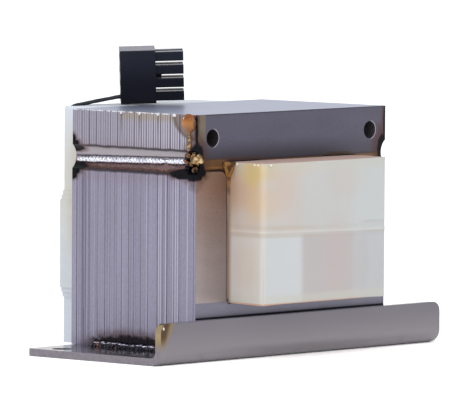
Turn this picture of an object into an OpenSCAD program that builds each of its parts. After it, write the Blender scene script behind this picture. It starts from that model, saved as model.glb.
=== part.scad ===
// Laminated chassis transformer.
// A welded stack of E and I steel sheets stands on a folded base plate. A layer wound coil
// fills the windows, wrapped in two bands of tape. Behind the stack a white insulating cover
// hides the coil's rear end, and two leads run from its corner to a plug housing on top.
// Origin: centre of the base plate's hole pattern, on the underside. X runs along the plate,
// -Y is the side with the upturned flange, +Z is up. Units are millimetres.

/* [Core] */
// Width of the centre leg of an E sheet
tongue_w = 28.575; // [24:0.005:34]
// Width of the outer legs
leg_w = 14.29; // [12:0.01:20]
// Height of the yoke under the windows
yoke_h = 14.29; // [12:0.01:20]
// Height of the I bar over the windows
bar_h = 14.29; // [12:0.01:20]
// Width of a winding window
window_w = 14.29; // [12.5:0.01:20]
// Height of a winding window
window_h = 42.86; // [36:0.01:60]
// Depth of the stack of sheets
stack_d = 50.8; // [36:0.1:70]
// Thickness of one steel sheet
sheet_t = 0.489; // [0.35:0.001:1]
// How far the sheets' edges wander in and out
edge_wander = 0.07; // [0:0.01:0.15]
// Sideways offset of the I stack on the E stack
bar_offset = 0.1; // [0:0.05:0.8]
// Diameter of the corner holes
corner_hole_d = 5.3; // [3:0.1:6.5]
// Depth of the weld groove at the joint of E and I
groove_depth = 1.8; // [1:0.1:2.5]
// Height of the weld groove at the joint of E and I
groove_h = 7.4; // [6:0.1:9]

/* [Base plate] */
// Length of the plate
plate_l = 127; // [122:0.5:150]
// Thickness of the plate
plate_t = 2.28; // [1.5:0.01:3]
// Height of the front flange above the underside
flange_h = 12.7; // [10:0.1:20]
// Inside radius of the flange's bend
bend_r = 1.9; // [1:0.1:2.5]
// Gap between the flange and the stack
flange_gap = 2.8; // [2:0.1:5]
// How far the plate's back edge stops short of the stack's back
back_setback = 1.3; // [0:0.1:6]
// Radius of the flange's upper corners
flange_corner_r = 3; // [1:0.1:5]
// Radius of the plate's back corners
plate_corner_r = 1.2; // [0.5:0.1:4]
// Diameter of the mounting holes
mount_hole_d = 6.3; // [4:0.1:8]
// Distance of a mounting hole's centre from the plate's end
mount_edge = 5.6; // [4.5:0.1:8]
// Spacing of the mounting holes across the plate
mount_pitch_y = 30; // [20:0.5:32]

/* [Welds] */
// Radius of the bead in the joint's groove
joint_bead_r = 1.15; // [0.6:0.05:1.5]
// How much lower the joint bead's back end lies than its front end
joint_bead_drop = 1.1; // [0:0.1:1.5]
// Distance of the joint bead's back end from the back of the stack
bead_back_gap = 0.7; // [0.3:0.1:3]
// Distance of the joint bead's front end from the front of the stack
bead_front_gap = 4.9; // [0.3:0.1:8]
// Distance from the front of the stack to where the left joint weld was interrupted
weld_stop = 13.8; // [8:0.1:40]
// Length of the thin stretch at that interruption
weld_stop_l = 2.8; // [0:0.1:4]
// Share of its radius that the bead keeps there
weld_stop_share = 0.6; // [0.5:0.05:1]
// Radius of the bead between stack and plate
base_bead_r = 2; // [1:0.1:3]
// Length of the bead between stack and plate
base_bead_l = 34; // [20:1:36]
// Length of one ripple along a bead
ripple_l = 1.4; // [1:0.1:3]
// Height of the ripples
ripple_h = 0.22; // [0.05:0.01:0.4]

/* [Coil] */
// Clearance between the centre leg and the former
former_gap = 0.25; // [0.1:0.05:0.5]
// Wall of the former
former_wall = 1; // [0.6:0.1:1.5]
// Thickness of the primary winding
primary_build = 6.2; // [4:0.1:6.5]
// Thickness of the paper between the windings
paper_t = 0.5; // [0.2:0.05:0.8]
// Thickness of the paper round the secondary winding
outer_paper_t = 0.3; // [0.1:0.05:0.5]
// Thickness of one band of tape
wrap_t = 0.35; // [0.2:0.05:0.5]
// Clearance between the wrap and the outer legs
coil_gap = 0.5; // [0.5:0.05:0.8]
// Clearance over and under the coil in the windows
end_gap = 0.3; // [0.1:0.05:0.6]
// Width of the margin tape at each end of a winding
winding_margin = 2.5; // [1:0.1:4]
// How far the wrapped ends of the coil bulge at their middle
coil_crown = 0.8; // [0.3:0.1:1.5]
// Radius of the wrapped coil's upright corners
coil_corner_r = 1.5; // [1:0.1:6]
// Width of the strip where the two bands of tape overlap
band_overlap = 3; // [1.5:0.1:6]

/* [Rear cover] */
// Thickness of the cover
cover_t = 0.8; // [0.5:0.1:1.2]
// Gap between the coil's sides and the cover
cover_side_gap = 0.35; // [0.2:0.05:1]
// Gap between the coil's back and the cover
cover_back_gap = 1.4; // [0.6:0.1:3]
// How far the cover's top lies under the top of the stack
cover_drop = 0.2; // [0:0.1:1.5]
// Height of the cover's lower edge over the underside of the plate
cover_base = 1.1; // [0.5:0.1:2]
// Radius of the folds at the cover's corners and top
cover_corner_r = 1; // [0.4:0.1:1.5]
// Height of the band of tape round the cover
band_h = 32.6; // [15:0.1:36]
// Height of that band's lower edge over the stack's foot
band_base = 12.8; // [8:0.1:20]
// Thickness of that band
band_t = 1.3; // [0.4:0.1:1.6]
// Turns of tape in that band
band_turns = 3; // [1:1:4]
// How far each turn stays inside the edges of the turn below it
band_step = 1.4; // [0:0.1:2]
// Length of the notch for the leads
notch_l = 8.8; // [8.6:0.1:11]
// Width of the notch for the leads
notch_w = 3.2; // [2.9:0.1:5]
// Depth of the notch in the cover's back wall
notch_depth = 5; // [4.9:0.1:8]
// Distance of the notch from the inside of the cover's left wall
notch_edge = 0.1; // [0:0.1:1]

/* [Leads] */
// Outer diameter of a lead
lead_d = 1.1; // [0.9:0.05:1.35]
// Diameter of the sleeves over the splices
sleeve_d = 2.2; // [1.8:0.1:2.4]

/* [Connector] */
// Circuits in one column of the connector
rows = 4; // [2:1:6]
// Distance between circuits
circuit_pitch = 4.1; // [3.8:0.05:4.5]
// Length of the block on the wire side
block_l = 10.9; // [9:0.1:12]
// Thickness of that block
block_w = 9.6; // [9.2:0.1:11]
// Chamfer along the block's edges
block_chamfer = 0.35; // [0.1:0.05:0.5]
// Length of the sockets
socket_l = 8.6; // [6:0.1:12]
// Side of one socket
socket_w = 2.85; // [2.75:0.05:3.4]
// Chamfer along the outer edges of the sockets on the latch's side
socket_chamfer = 0.9; // [0.2:0.1:1]
// Side of the contact cavity in a socket
cavity_w = 1.8; // [1.7:0.1:2.1]
// Diameter of the wire entries
entry_d = 2.6; // [2.2:0.1:3]
// Step from the block's underside up to the lowest sockets
socket_rise = 0.55; // [0.4:0.05:1]
// Step from the block's top down to the highest sockets
socket_drop = 0.8; // [0.4:0.05:1.2]
// Length of the latch arm
latch_l = 12; // [10:0.5:15]
// Width of the latch arm
latch_w = 5; // [3:0.5:7]
// Thickness of the latch arm
latch_t = 1; // [0.8:0.1:1.4]
// Gap under the latch arm
latch_gap = 1.1; // [0.8:0.1:1.5]
// Angle of the connector in plan
connector_yaw = -45.5; // [-50:0.5:-42]
// Lean of the connector towards the front
connector_lean = 7; // [3:0.5:9]
// Rise of the connector towards its sockets
connector_tilt = 1.9; // [0:0.1:3]
// Distance of the connector's lowest corner to the left of the stack's middle
connector_left = 14.3; // [12:0.1:17]
// Distance of that corner behind the stack
connector_behind = 6.6; // [4:0.1:9]
// Height of that corner over the rear cover
connector_rise = 0.2; // [0.1:0.1:2]

// Distance of a terminal's crimped end from the wire side
terminal_start = 5.1; // [5.05:0.05:5.3]
// Length of a terminal
terminal_l = 11; // [8:0.1:13]
// Width of a terminal
terminal_w = 1.5; // [1.2:0.1:1.6]
// Length of its crimped barrel
crimp_l = 3.5; // [2:0.1:5]
// Side of the hole for the pin
pin_w = 0.9; // [0.6:0.1:1]

/* [Varnish] */
// Radius of the drop of varnish at the front left corner
run_r = 3; // [2:0.1:4]
// How far that drop stands out of the sheets' edges
run_h = 1.1; // [0.4:0.1:1.5]
// Distance of its middle from the front of the stack
run_front = 3.1; // [2:0.1:6]
// Depth of its middle under the top of the stack
run_depth = 2.3; // [1:0.1:5]
// Length of the tail that runs down from it
tail_l = 5.4; // [3:0.1:7]
// Width of that tail
tail_w = 1.4; // [0.6:0.1:2]
// Radius of the small drops along the top of the sheets' edges
drop_r = 0.9; // [0.5:0.1:1.2]
// How far those drops stand out
drop_h = 0.4; // [0.2:0.1:0.8]
// From the stack's front to the first of them
drop_front = 15.7; // [10:0.1:16]
// Distance between those drops
drop_pitch = 7.5; // [5:0.1:9]
// Number of those drops
drops = 3; // [1:1:4]

/* [Hidden] */
$fn = 64;
slack = 1; // how far a cutter runs past what it cuts

// Stack
core_w = 2 * leg_w + 2 * window_w + tongue_w;
joint_z = plate_t + yoke_h + window_h;
core_top = joint_z + bar_h;
front_y = -stack_d / 2;
back_y = stack_d / 2;
leaf_n = round(stack_d / sheet_t / 2); // sheets stand together in pairs
leaf_t = stack_d / leaf_n;
leaf_lap = 0.01; // how far a pair of sheets runs into the next, so that the stack is one solid
hole_x = core_w / 2 - leg_w / 2;
// The groove is a round hollow: its radius follows from its height and depth
groove_r = (groove_h * groove_h / 4 + groove_depth * groove_depth) / (2 * groove_depth);
groove_x = core_w / 2 - groove_depth + groove_r;

// Base plate
flange_out_y = front_y - flange_gap - plate_t;
plate_back_y = back_y - back_setback;
bend_out_r = bend_r + plate_t;
mount_x = plate_l / 2 - mount_edge;

// Coil, outwards from the centre leg
former_out = former_gap + former_wall;
primary_out = former_out + primary_build;
paper_out = primary_out + paper_t;
coil_out = window_w - coil_gap;
outer_paper_out = coil_out - wrap_t;
secondary_out = outer_paper_out - outer_paper_t;
coil_base = plate_t + yoke_h + end_gap;
coil_h = window_h - 2 * end_gap;
coil_mid = coil_base + coil_h / 2;
coil_top = coil_base + coil_h;
inner_corner_r = 0.8;
crown_fn = 1440; // the crowns are short arcs of very large circles

// Rear cover
cover_x = tongue_w / 2 + coil_out + cover_side_gap + cover_t;
cover_y = back_y + coil_out + coil_crown + cover_back_gap + cover_t;
cover_top = core_top - cover_drop;
cover_inner_x = cover_x - cover_t;
cover_inner_y = cover_y - cover_t;

// Connector
columns = 2;
block_h = socket_rise + (rows - 1) * circuit_pitch + socket_w + socket_drop;
column_y = block_w / 2 - (columns - 1) * circuit_pitch / 2;
row_z = socket_rise + socket_w / 2;
latch_start = 1;
latch_web = 2; // length of the web that carries the latch arm
latch_hook = 0.7;

// Varnish
left_x = -core_w / 2 - edge_wander + bar_offset; // the I sheets that stand out furthest
run_sphere_r = (run_r * run_r + run_h * run_h) / (2 * run_h);
drop_sphere_r = (drop_r * drop_r + drop_h * drop_h) / (2 * drop_h);
cap_fn = 240; // the drops are shallow caps of larger spheres

// Leads: the points run from the splice to the terminal. They count from the top of the coil, in the
// plane of the stack's back.
lead_sides = 8;
lead_base = [0, back_y, coil_top];
lead_across = [1, 1, 0]; // no stretch of a lead runs this way
lead_1_route = [[-26.4, 11.8, 3.9], [-26.4, 11.8, 5.1], [-26.6, 12.3, 6.6], [-27, 13.3, 8],
    [-27.4, 14.3, 9.3], [-27.7, 15.1, 10.6], [-27.7, 15.4, 11.9], [-27.5, 15.4, 13],
    [-26.8, 15.2, 13.9], [-25.8, 14.9, 14.4], [-24.6, 14.6, 14.6], [-23.3, 14.4, 14.7],
    [-22, 14.1, 14.9], [-20.5, 13.6, 15.2], [-19, 12.9, 15.6], [-17.4, 12, 15.9],
    [-16, 11.1, 16.2], [-14.8, 10.2, 16.4], [-13.6, 9.3, 16.7], [-12.6, 8.4, 16.8],
    [-11.4, 7.2, 16.9], [-10.2, 6, 17], [-9, 4.8, 17.05]];
lead_2_route = [[-23.6, 12.2, 3.9], [-23.6, 12.2, 5], [-24, 12.8, 6.4], [-24.9, 13.8, 7.7],
    [-25.8, 14.8, 8.9], [-26.5, 15.6, 10.1], [-26.8, 16.2, 11.3], [-26.7, 16.6, 12.4],
    [-26.2, 16.7, 13.3], [-25.3, 16.5, 14], [-24.1, 16.2, 14.4], [-22.6, 15.9, 14.6],
    [-20.8, 15.4, 14.9], [-18.9, 14.9, 15.2], [-17.1, 14.4, 15.4], [-15.3, 13.8, 15.7],
    [-13.6, 13.2, 16], [-12.1, 12.6, 16.3], [-10.8, 11.9, 16.6], [-9.7, 11.2, 16.8],
    [-8.5, 10, 17.1], [-7.2, 8.7, 17.5], [-6.1, 7.65, 17.55]];

function unit(v) = v / norm(v);
function wander(i) = edge_wander * sin(211 * i + 47 * i * i);

// ---- outlines ----

module e_outline() {
    difference() {
        translate([-core_w / 2, plate_t]) square([core_w, joint_z - plate_t]);
        for (side = [-1, 1])
            translate([side * (tongue_w + window_w) / 2 - window_w / 2, plate_t + yoke_h])
                square([window_w, window_h + slack]);
    }
}

module i_outline() {
    translate([-core_w / 2, joint_z]) square([core_w, bar_h]);
}

module rounded_rect(w, d, r) {
    square([w - 2 * r, d], center = true);
    square([w, d - 2 * r], center = true);
    for (x = [-1, 1], y = [-1, 1])
        translate([x * (w / 2 - r), y * (d / 2 - r)]) circle(r);
}

// Plan of the coil at a given thickness of winding. The ends bulge more from layer to layer.
module coil_plan(build) {
    part = max(0, (build - former_out) / (coil_out - former_out));
    crown = coil_crown * part;
    half_w = tongue_w / 2 + build;
    end_y = stack_d / 2 + build + crown;
    if (crown > 0.01) {
        arc_r = (half_w * half_w + crown * crown) / (2 * crown);
        intersection() {
            rounded_rect(2 * half_w, 2 * end_y, inner_corner_r + (coil_corner_r - inner_corner_r) * part);
            translate([0, end_y - arc_r]) circle(arc_r, $fn = crown_fn);
            translate([0, arc_r - end_y]) circle(arc_r, $fn = crown_fn);
        }
    } else
        rounded_rect(2 * half_w, 2 * end_y, inner_corner_r);
}

module coil_layer(inner, outer, base, height) {
    translate([0, 0, base]) linear_extrude(height) difference() {
        coil_plan(outer);
        coil_plan(inner);
    }
}

// Margin tape above and below a winding
module margin_tape(inner, outer) {
    coil_layer(inner, outer, coil_base, winding_margin);
    coil_layer(inner, outer, coil_top - winding_margin, winding_margin);
}

// ---- core ----

// Pairs of sheets along the depth, each pair shifted a little to one side
module sheet_stack(phase) {
    for (i = [0 : leaf_n - 1]) {
        lap = i < leaf_n - 1 ? leaf_lap : 0;
        translate([wander(i + phase), front_y + (i + 1) * leaf_t + lap, 0])
            rotate([90, 0, 0]) linear_extrude(leaf_t + lap) children();
    }
}

module along_depth(x, z, d, from_y, to_y) {
    translate([x, to_y, z]) rotate([90, 0, 0]) cylinder(h = to_y - from_y, d = d);
}

module corner_holes(z) {
    for (side = [-1, 1])
        along_depth(side * hole_x, z, corner_hole_d, front_y - slack, back_y + slack);
}

module weld_grooves() {
    for (side = [-1, 1])
        along_depth(side * groove_x, joint_z, 2 * groove_r, front_y - slack, back_y + slack);
}

module e_laminations() {
    color([0.58, 0.57, 0.62]) difference() {
        sheet_stack(0) e_outline();
        corner_holes(plate_t + yoke_h / 2);
        weld_grooves();
    }
}

module i_laminations() {
    color([0.54, 0.53, 0.58]) difference() {
        translate([bar_offset, 0, 0]) sheet_stack(5) i_outline();
        corner_holes(core_top - bar_h / 2);
        weld_grooves();
    }
}

// ---- welds ----

// A straight bead that runs from the origin towards -Y. Its radius swells at each ripple, and is
// smaller where the weld was interrupted, at a distance of stop from the origin.
module bead(r, length, stop = -1) {
    n = round(length / ripple_l);
    step = length / n;
    rotate([90, 0, 0]) rotate_extrude() polygon(concat(
        [[0, 0], [r / 2, 0]],
        [for (i = [0 : n - 1], part = [0.25, 0.75])
            let (place = (i + part) * step,
                share = stop > 0 && abs(place - stop) < weld_stop_l / 2 ? weld_stop_share : 1)
            [r * share + ripple_h * (part < 0.5 ? -0.5 : 0.5), place]],
        [[r / 2, length], [0, length]]));
}

module joint_weld(side) {
    bead_x = core_w / 2 - groove_depth;
    bead_l = stack_d - bead_back_gap - bead_front_gap;
    tilt = atan(joint_bead_drop / bead_l);
    color([0.80, 0.80, 0.84]) difference() {
        translate([side * bead_x, back_y - bead_back_gap, joint_z - joint_bead_drop])
            rotate([-tilt, 0, 0])
            bead(joint_bead_r, bead_l, side < 0 ? stack_d - bead_back_gap - weld_stop : -1);
        // the core's own steel, up to the round wall of the groove
        difference() {
            translate([side > 0 ? 0 : -core_w / 2, front_y - slack, joint_z - groove_h])
                cube([core_w / 2, stack_d + 2 * slack, 2 * groove_h]);
            weld_grooves();
        }
    }
}

module base_weld(side) {
    color([0.24, 0.22, 0.24]) difference() {
        translate([side * core_w / 2, base_bead_l / 2, plate_t]) bead(base_bead_r, base_bead_l);
        translate([-core_w / 2 - edge_wander, front_y, 0])
            cube([core_w + 2 * edge_wander, stack_d, core_top]);
        translate([-plate_l / 2, front_y, -base_bead_r]) cube([plate_l, stack_d, base_bead_r + plate_t]);
    }
}

// ---- base plate ----

// Side view of the folded plate: Y across, Z up
module plate_profile() {
    bend_y = flange_out_y + bend_out_r;
    translate([bend_y, 0]) square([plate_back_y - bend_y, plate_t]);
    translate([flange_out_y, bend_out_r]) square([plate_t, flange_h - bend_out_r]);
    intersection() {
        translate([bend_y, bend_out_r]) difference() {
            circle(bend_out_r);
            circle(bend_r);
        }
        translate([flange_out_y, 0]) square(bend_out_r);
    }
}

// What a rounded corner of radius r takes off a square one at the origin
module corner_cut(r, height) {
    linear_extrude(height, center = true) difference() {
        square(r + slack);
        circle(r);
    }
}

module base_plate() {
    color([0.55, 0.52, 0.50]) difference() {
        translate([-plate_l / 2, 0, 0]) rotate([90, 0, 90]) linear_extrude(plate_l) plate_profile();
        for (side = [-1, 1]) {
            translate([side * mount_x, 0, 0])
                for (y = [-1, 1])
                    translate([0, y * mount_pitch_y / 2, -slack])
                        cylinder(h = plate_t + 2 * slack, d = mount_hole_d);
            mirror([side > 0 ? 0 : 1, 0, 0]) {
                translate([plate_l / 2 - flange_corner_r, flange_out_y + plate_t / 2,
                        flange_h - flange_corner_r])
                    rotate([90, 0, 0]) corner_cut(flange_corner_r, plate_t + 2 * slack);
                translate([plate_l / 2 - plate_corner_r, plate_back_y - plate_corner_r, plate_t / 2])
                    corner_cut(plate_corner_r, plate_t + 2 * slack);
            }
        }
    }
}

// ---- coil ----

module coil_former() {
    color([0.83, 0.70, 0.62]) coil_layer(former_gap, former_out, coil_base, coil_h);
}

module primary_winding() {
    color([0.62, 0.33, 0.16])
        coil_layer(former_out, primary_out, coil_base + winding_margin, coil_h - 2 * winding_margin);
}

module primary_margin_tape() {
    color([0.87, 0.80, 0.70]) margin_tape(former_out, primary_out);
}

module interwinding_paper() {
    color([0.85, 0.78, 0.66]) coil_layer(primary_out, paper_out, coil_base, coil_h);
}

module secondary_winding() {
    color([0.72, 0.40, 0.18])
        coil_layer(paper_out, secondary_out, coil_base + winding_margin, coil_h - 2 * winding_margin);
}

module secondary_margin_tape() {
    color([0.88, 0.78, 0.70]) margin_tape(paper_out, secondary_out);
}

module outer_paper() {
    color([0.88, 0.76, 0.70]) coil_layer(secondary_out, outer_paper_out, coil_base, coil_h);
}

module coil_wrap_lower() {
    color([0.90, 0.89, 0.86])
        coil_layer(outer_paper_out, coil_out, coil_base, coil_h / 2 + band_overlap / 2);
}

// The upper band laps over the edge of the lower one
module coil_wrap_upper() {
    color([0.92, 0.90, 0.86]) {
        coil_layer(outer_paper_out, coil_out, coil_mid + band_overlap / 2, coil_h / 2 - band_overlap / 2);
        coil_layer(coil_out, coil_out + wrap_t, coil_mid - band_overlap / 2, band_overlap);
        coil_layer(coil_out, coil_out + wrap_t, coil_mid + band_overlap / 2, wrap_t);
    }
}

// ---- rear cover ----

// Plan of a wall of the cover that opens towards the stack
module cover_plan(x, y, r) {
    intersection() {
        rounded_rect(2 * x, 2 * y, r);
        translate([-x, back_y]) square([2 * x, y - back_y]);
    }
}

// A box around the cover whose upper edges along one axis are rounded
module folded_box(half_w, depth) {
    rotate([90, 0, 0]) linear_extrude(depth, center = true) translate([0, cover_base])
        rounded_rect(2 * half_w, 2 * (cover_top - cover_base), cover_corner_r);
}

module rear_cover() {
    inner_base = cover_base + cover_t;
    color([0.92, 0.93, 0.94]) difference() {
        intersection() {
            translate([0, 0, cover_base]) linear_extrude(cover_top - cover_base)
                cover_plan(cover_x, cover_y, cover_corner_r);
            folded_box(cover_x, 2 * cover_y + slack);
            rotate([0, 0, 90]) folded_box(cover_y, 2 * cover_x + slack);
        }
        translate([-cover_inner_x, 0, inner_base])
            cube([2 * cover_inner_x, cover_inner_y, cover_top - cover_t - inner_base]);
        // notch for the leads, in the top and the back at the left rear corner
        translate([notch_edge - cover_inner_x, cover_inner_y - notch_w, cover_top - notch_depth])
            cube([notch_l, notch_w + cover_t + slack, notch_depth + slack]);
    }
}

module rear_cover_band() {
    color([0.90, 0.90, 0.88]) for (turn = [0 : band_turns - 1]) {
        outside = (turn + 1) * band_t / band_turns;
        inset = turn * band_step;
        translate([0, 0, plate_t + band_base + inset]) linear_extrude(band_h - 2 * inset) difference() {
            cover_plan(cover_x + outside, cover_y + outside, cover_corner_r + outside);
            cover_plan(cover_x, cover_y, cover_corner_r);
        }
    }
}

// ---- leads and connector ----

// A sleeve that stands on the coil and holds the foot of a lead
module lead_splice(route) {
    color([0.15, 0.15, 0.17]) translate(lead_base + [route[0].x, route[0].y, 0])
        cylinder(h = route[0].z, d = sleeve_d);
}

// A round tube swept along a route
module lead(route) {
    n = len(route);
    ring = [for (i = [0 : n - 1])
        let (along = unit(route[min(i + 1, n - 1)] - route[max(i - 1, 0)]),
            side = unit(cross(along, lead_across)),
            up = cross(side, along))
        [for (k = [0 : lead_sides - 1])
            let (angle = 360 * k / lead_sides)
            lead_base + route[i] + lead_d / 2 * (cos(angle) * side + sin(angle) * up)]];
    color([0.09, 0.09, 0.11]) polyhedron(
        points = [for (r = ring) each r],
        faces = concat(
            [[for (k = [0 : lead_sides - 1]) k]],
            [for (i = [0 : n - 2], k = [0 : lead_sides - 1])
                let (a = i * lead_sides, b = (k + 1) % lead_sides)
                [a + k, a + lead_sides + k, a + lead_sides + b, a + b]],
            [[for (k = [lead_sides - 1 : -1 : 0]) (n - 1) * lead_sides + k]]));
}

// Puts a connector piece where the plug lies: block behind the stack, sockets over it
module in_place() {
    translate([-connector_left, back_y + connector_behind, cover_top + connector_rise])
        rotate([connector_lean, -connector_tilt, connector_yaw]) children();
}

// Centre of one circuit: the column counts from the front, the row from the bottom
module at_circuit(column, row) {
    translate([0, column_y + column * circuit_pitch, row_z + row * circuit_pitch]) children();
}

// A bar along X from the origin, whose long edges have chamfers: near on the -Y side, far on the +Y
module chamfered_bar(length, w, h, near, far) {
    rotate([90, 0, 90]) linear_extrude(length) polygon([[near, 0], [w - far, 0], [w, far],
        [w, h - far], [w - far, h], [near, h], [0, h - near], [0, near]]);
}

module socket_body(column) {
    far = column == columns - 1 ? socket_chamfer : block_chamfer;
    translate([block_l - slack, -socket_w / 2, -socket_w / 2])
        chamfered_bar(socket_l + slack, socket_w, socket_w, block_chamfer / 2, far);
}

// The arm on the back that catches the mating plug: a lever on a web, with a hook at its end
module latch() {
    web_x = block_l / 2;
    end = latch_start + latch_l;
    outside = latch_gap + latch_t;
    translate([0, block_w, block_h / 2 - latch_w / 2]) linear_extrude(latch_w) polygon([
        [web_x, -slack], [web_x, latch_gap], [latch_start, latch_gap], [latch_start, outside],
        [end - latch_hook, outside], [end, latch_gap], [end, latch_gap - latch_hook],
        [end - 2 * latch_hook, latch_gap], [web_x + latch_web, latch_gap], [web_x + latch_web, -slack]]);
}

module connector_housing() {
    color([0.10, 0.10, 0.13]) in_place() difference() {
        union() {
            chamfered_bar(block_l, block_w, block_h, block_chamfer, block_chamfer);
            for (column = [0 : columns - 1], row = [0 : rows - 1])
                at_circuit(column, row) socket_body(column);
            latch();
        }
        for (column = [0 : columns - 1], row = [0 : rows - 1]) at_circuit(column, row) {
            translate([-slack, 0, 0]) rotate([0, 90, 0]) cylinder(h = block_l + slack, d = entry_d);
            translate([block_l - slack, -cavity_w / 2, -cavity_w / 2])
                cube([socket_l + 2 * slack, cavity_w, cavity_w]);
        }
    }
}

// A crimped barrel that holds the lead, and a box that takes the pin
module terminal(column) {
    color([0.78, 0.74, 0.62]) in_place() at_circuit(column, 0) translate([terminal_start, 0, 0]) {
        rotate([0, 90, 0]) cylinder(h = crimp_l, d = terminal_w);
        difference() {
            translate([crimp_l, -terminal_w / 2, -terminal_w / 2])
                cube([terminal_l - crimp_l, terminal_w, terminal_w]);
            translate([(crimp_l + terminal_l) / 2, -pin_w / 2, -pin_w / 2])
                cube([terminal_l, pin_w, pin_w]);
        }
    }
}

// ---- varnish ----

// A round cap that stands out of the sheets' edges on the left, at a distance along Y from the
// stack's front and a height
module cap(sphere_r, stand_out, from_front, z) {
    translate([left_x + sphere_r - stand_out, front_y + from_front, z]) sphere(sphere_r, $fn = cap_fn);
}

// Hardened varnish on the left side of the I sheets: a drop with a tail at the front corner, and
// small drops along the top
module varnish_runs() {
    run_z = core_top - run_depth;
    tail_base = run_z - run_r - tail_l;
    color([0.55, 0.32, 0.10]) intersection() {
        union() {
            cap(run_sphere_r, run_h, run_front, run_z);
            translate([left_x, front_y + run_front, tail_base])
                cylinder(h = tail_l + run_r, d1 = tail_w / 2, d2 = tail_w);
            translate([left_x, front_y + run_front, tail_base]) sphere(tail_w / 3);
            for (i = [0 : drops - 1])
                cap(drop_sphere_r, drop_h, drop_front + i * drop_pitch, core_top - drop_r);
        }
        translate([left_x - run_h - slack, front_y - slack, joint_z])
            cube([run_h + slack, stack_d + slack, bar_h + run_r]);
    }
}

base_plate();
e_laminations();
i_laminations();
joint_weld(-1);  // left_joint_weld
joint_weld(1);  // right_joint_weld
base_weld(-1);  // left_base_weld
base_weld(1);  // right_base_weld
coil_former();
primary_winding();
primary_margin_tape();
interwinding_paper();
secondary_winding();
secondary_margin_tape();
outer_paper();
coil_wrap_lower();
coil_wrap_upper();
rear_cover();
rear_cover_band();
lead_splice(lead_1_route);  // lead_splice_1
lead_splice(lead_2_route);  // lead_splice_2
lead(lead_1_route);  // lead_1
lead(lead_2_route);  // lead_2
connector_housing();
terminal(0);  // terminal_1
terminal(1);  // terminal_2
varnish_runs();
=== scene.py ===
"""Dresses the laminated chassis transformer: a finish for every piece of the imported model, and modelled
welds, tape, varnish and leads where the model only holds their space. Sizes and places are millimetres in
the model's own frame, and turn into metres where Blender takes them."""
import math
import random

import bmesh
import bpy
from mathutils import Matrix, Vector, noise


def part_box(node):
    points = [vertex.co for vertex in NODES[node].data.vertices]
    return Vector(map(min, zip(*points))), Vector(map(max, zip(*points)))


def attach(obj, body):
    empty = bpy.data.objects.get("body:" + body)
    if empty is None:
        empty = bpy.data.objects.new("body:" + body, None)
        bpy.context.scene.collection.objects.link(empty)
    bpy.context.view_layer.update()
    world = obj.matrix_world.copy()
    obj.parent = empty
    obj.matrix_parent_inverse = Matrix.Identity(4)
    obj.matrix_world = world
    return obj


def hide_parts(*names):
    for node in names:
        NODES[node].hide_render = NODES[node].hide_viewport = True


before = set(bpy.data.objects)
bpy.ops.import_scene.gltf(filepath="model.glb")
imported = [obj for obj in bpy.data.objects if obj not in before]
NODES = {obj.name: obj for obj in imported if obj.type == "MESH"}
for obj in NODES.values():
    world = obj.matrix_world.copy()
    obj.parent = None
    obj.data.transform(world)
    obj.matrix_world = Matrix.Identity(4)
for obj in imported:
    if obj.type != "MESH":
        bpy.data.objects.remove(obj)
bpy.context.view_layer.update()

MM = 0.001

SHEET_PAIR = 0.977  # thickness of two sheets of the stack
YOKE_H = 14.3  # height of the E sheets' lower bar
HOLE_X, HOLE_DROP, HOLE_R = 35.7, 7.15, 2.65  # corner holes: from the middle, from the top, radius
GROOVE_DEPTH = 1.8  # of the groove that a joint bead lies in
JOINT_BEAD_R, BASE_BEAD_R = 1.2, 1.95
RIPPLE = 1.45  # length of one ripple along a bead
LAP_Z, LAP_FALL = 38.1, 0.02  # the crease where the coil's two bands of tape overlap, and its slope


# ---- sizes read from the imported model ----

def box(node):
    """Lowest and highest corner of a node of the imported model."""
    return [Vector(corner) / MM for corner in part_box(node)]


core_low, core_high = box("e_laminations")
plate_low, plate_high = box("base_plate")
cover_low = box("rear_cover")[0]
wrap_low, wrap_high = box("coil_wrap_lower")[0], box("coil_wrap_upper")[1]
bead_low, bead_high = box("left_joint_weld")
foot_low, foot_high = box("left_base_weld")
front_y, back_y = core_low.y, core_high.y
plate_top, joint_z, core_top = core_low.z, core_high.z, box("i_laminations")[1].z
core_half = (core_high.x - core_low.x) / 2
left_x = -core_half
yoke_top = plate_top + YOKE_H
hole_z = core_top - HOLE_DROP
# a joint bead sinks towards the back: by how much for each millimetre, and its height where y is 0
bead_fall = (bead_high.z - bead_low.z - 2 * JOINT_BEAD_R) / (bead_high.y - bead_low.y)
bead_middle = (bead_low.z + bead_high.z) / 2 + bead_fall * (bead_low.y + bead_high.y) / 2


def add_object(name, data):
    """Links a new object that shows this camera, curve, mesh or lamp."""
    made = bpy.data.objects.new(name, data)
    bpy.context.scene.collection.objects.link(made)
    return made


# ---- camera ----

def add_camera():
    """A long lens, a little above the level of the core, that sees the left side and the flange side."""
    azimuth, elevation, roll = math.radians(47.945), math.radians(3.744), math.radians(0.354)
    aim, distance = Vector((1.40, -1.13, 42.28)) * MM, 2.208
    ahead = Vector((math.sin(azimuth) * math.cos(elevation), math.cos(azimuth) * math.cos(elevation),
                    -math.sin(elevation)))
    right = Vector((math.cos(azimuth), -math.sin(azimuth), 0.0))
    up = right.cross(ahead)
    turned = math.cos(roll) * right + math.sin(roll) * up
    data = bpy.data.cameras.new("camera")
    data.sensor_width, data.lens = 36.0, 554.6
    data.clip_start, data.clip_end = 0.05, 60.0
    camera = add_object("camera", data)
    turn = Matrix((turned, -ahead.cross(turned), -ahead)).transposed()
    camera.matrix_world = Matrix.Translation(aim - ahead * distance) @ turn.to_4x4()
    bpy.context.scene.camera = camera


add_camera()


# ---- finishes ----

def rgb(*levels):
    """Red, green and blue as a display shows them, 0 to 255, as the linear colour that shaders take."""
    shares = [level / 255 for level in levels]
    return tuple(s / 12.92 if s <= 0.04045 else ((s + 0.055) / 1.055) ** 2.4 for s in shares) + (1.0,)


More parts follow.
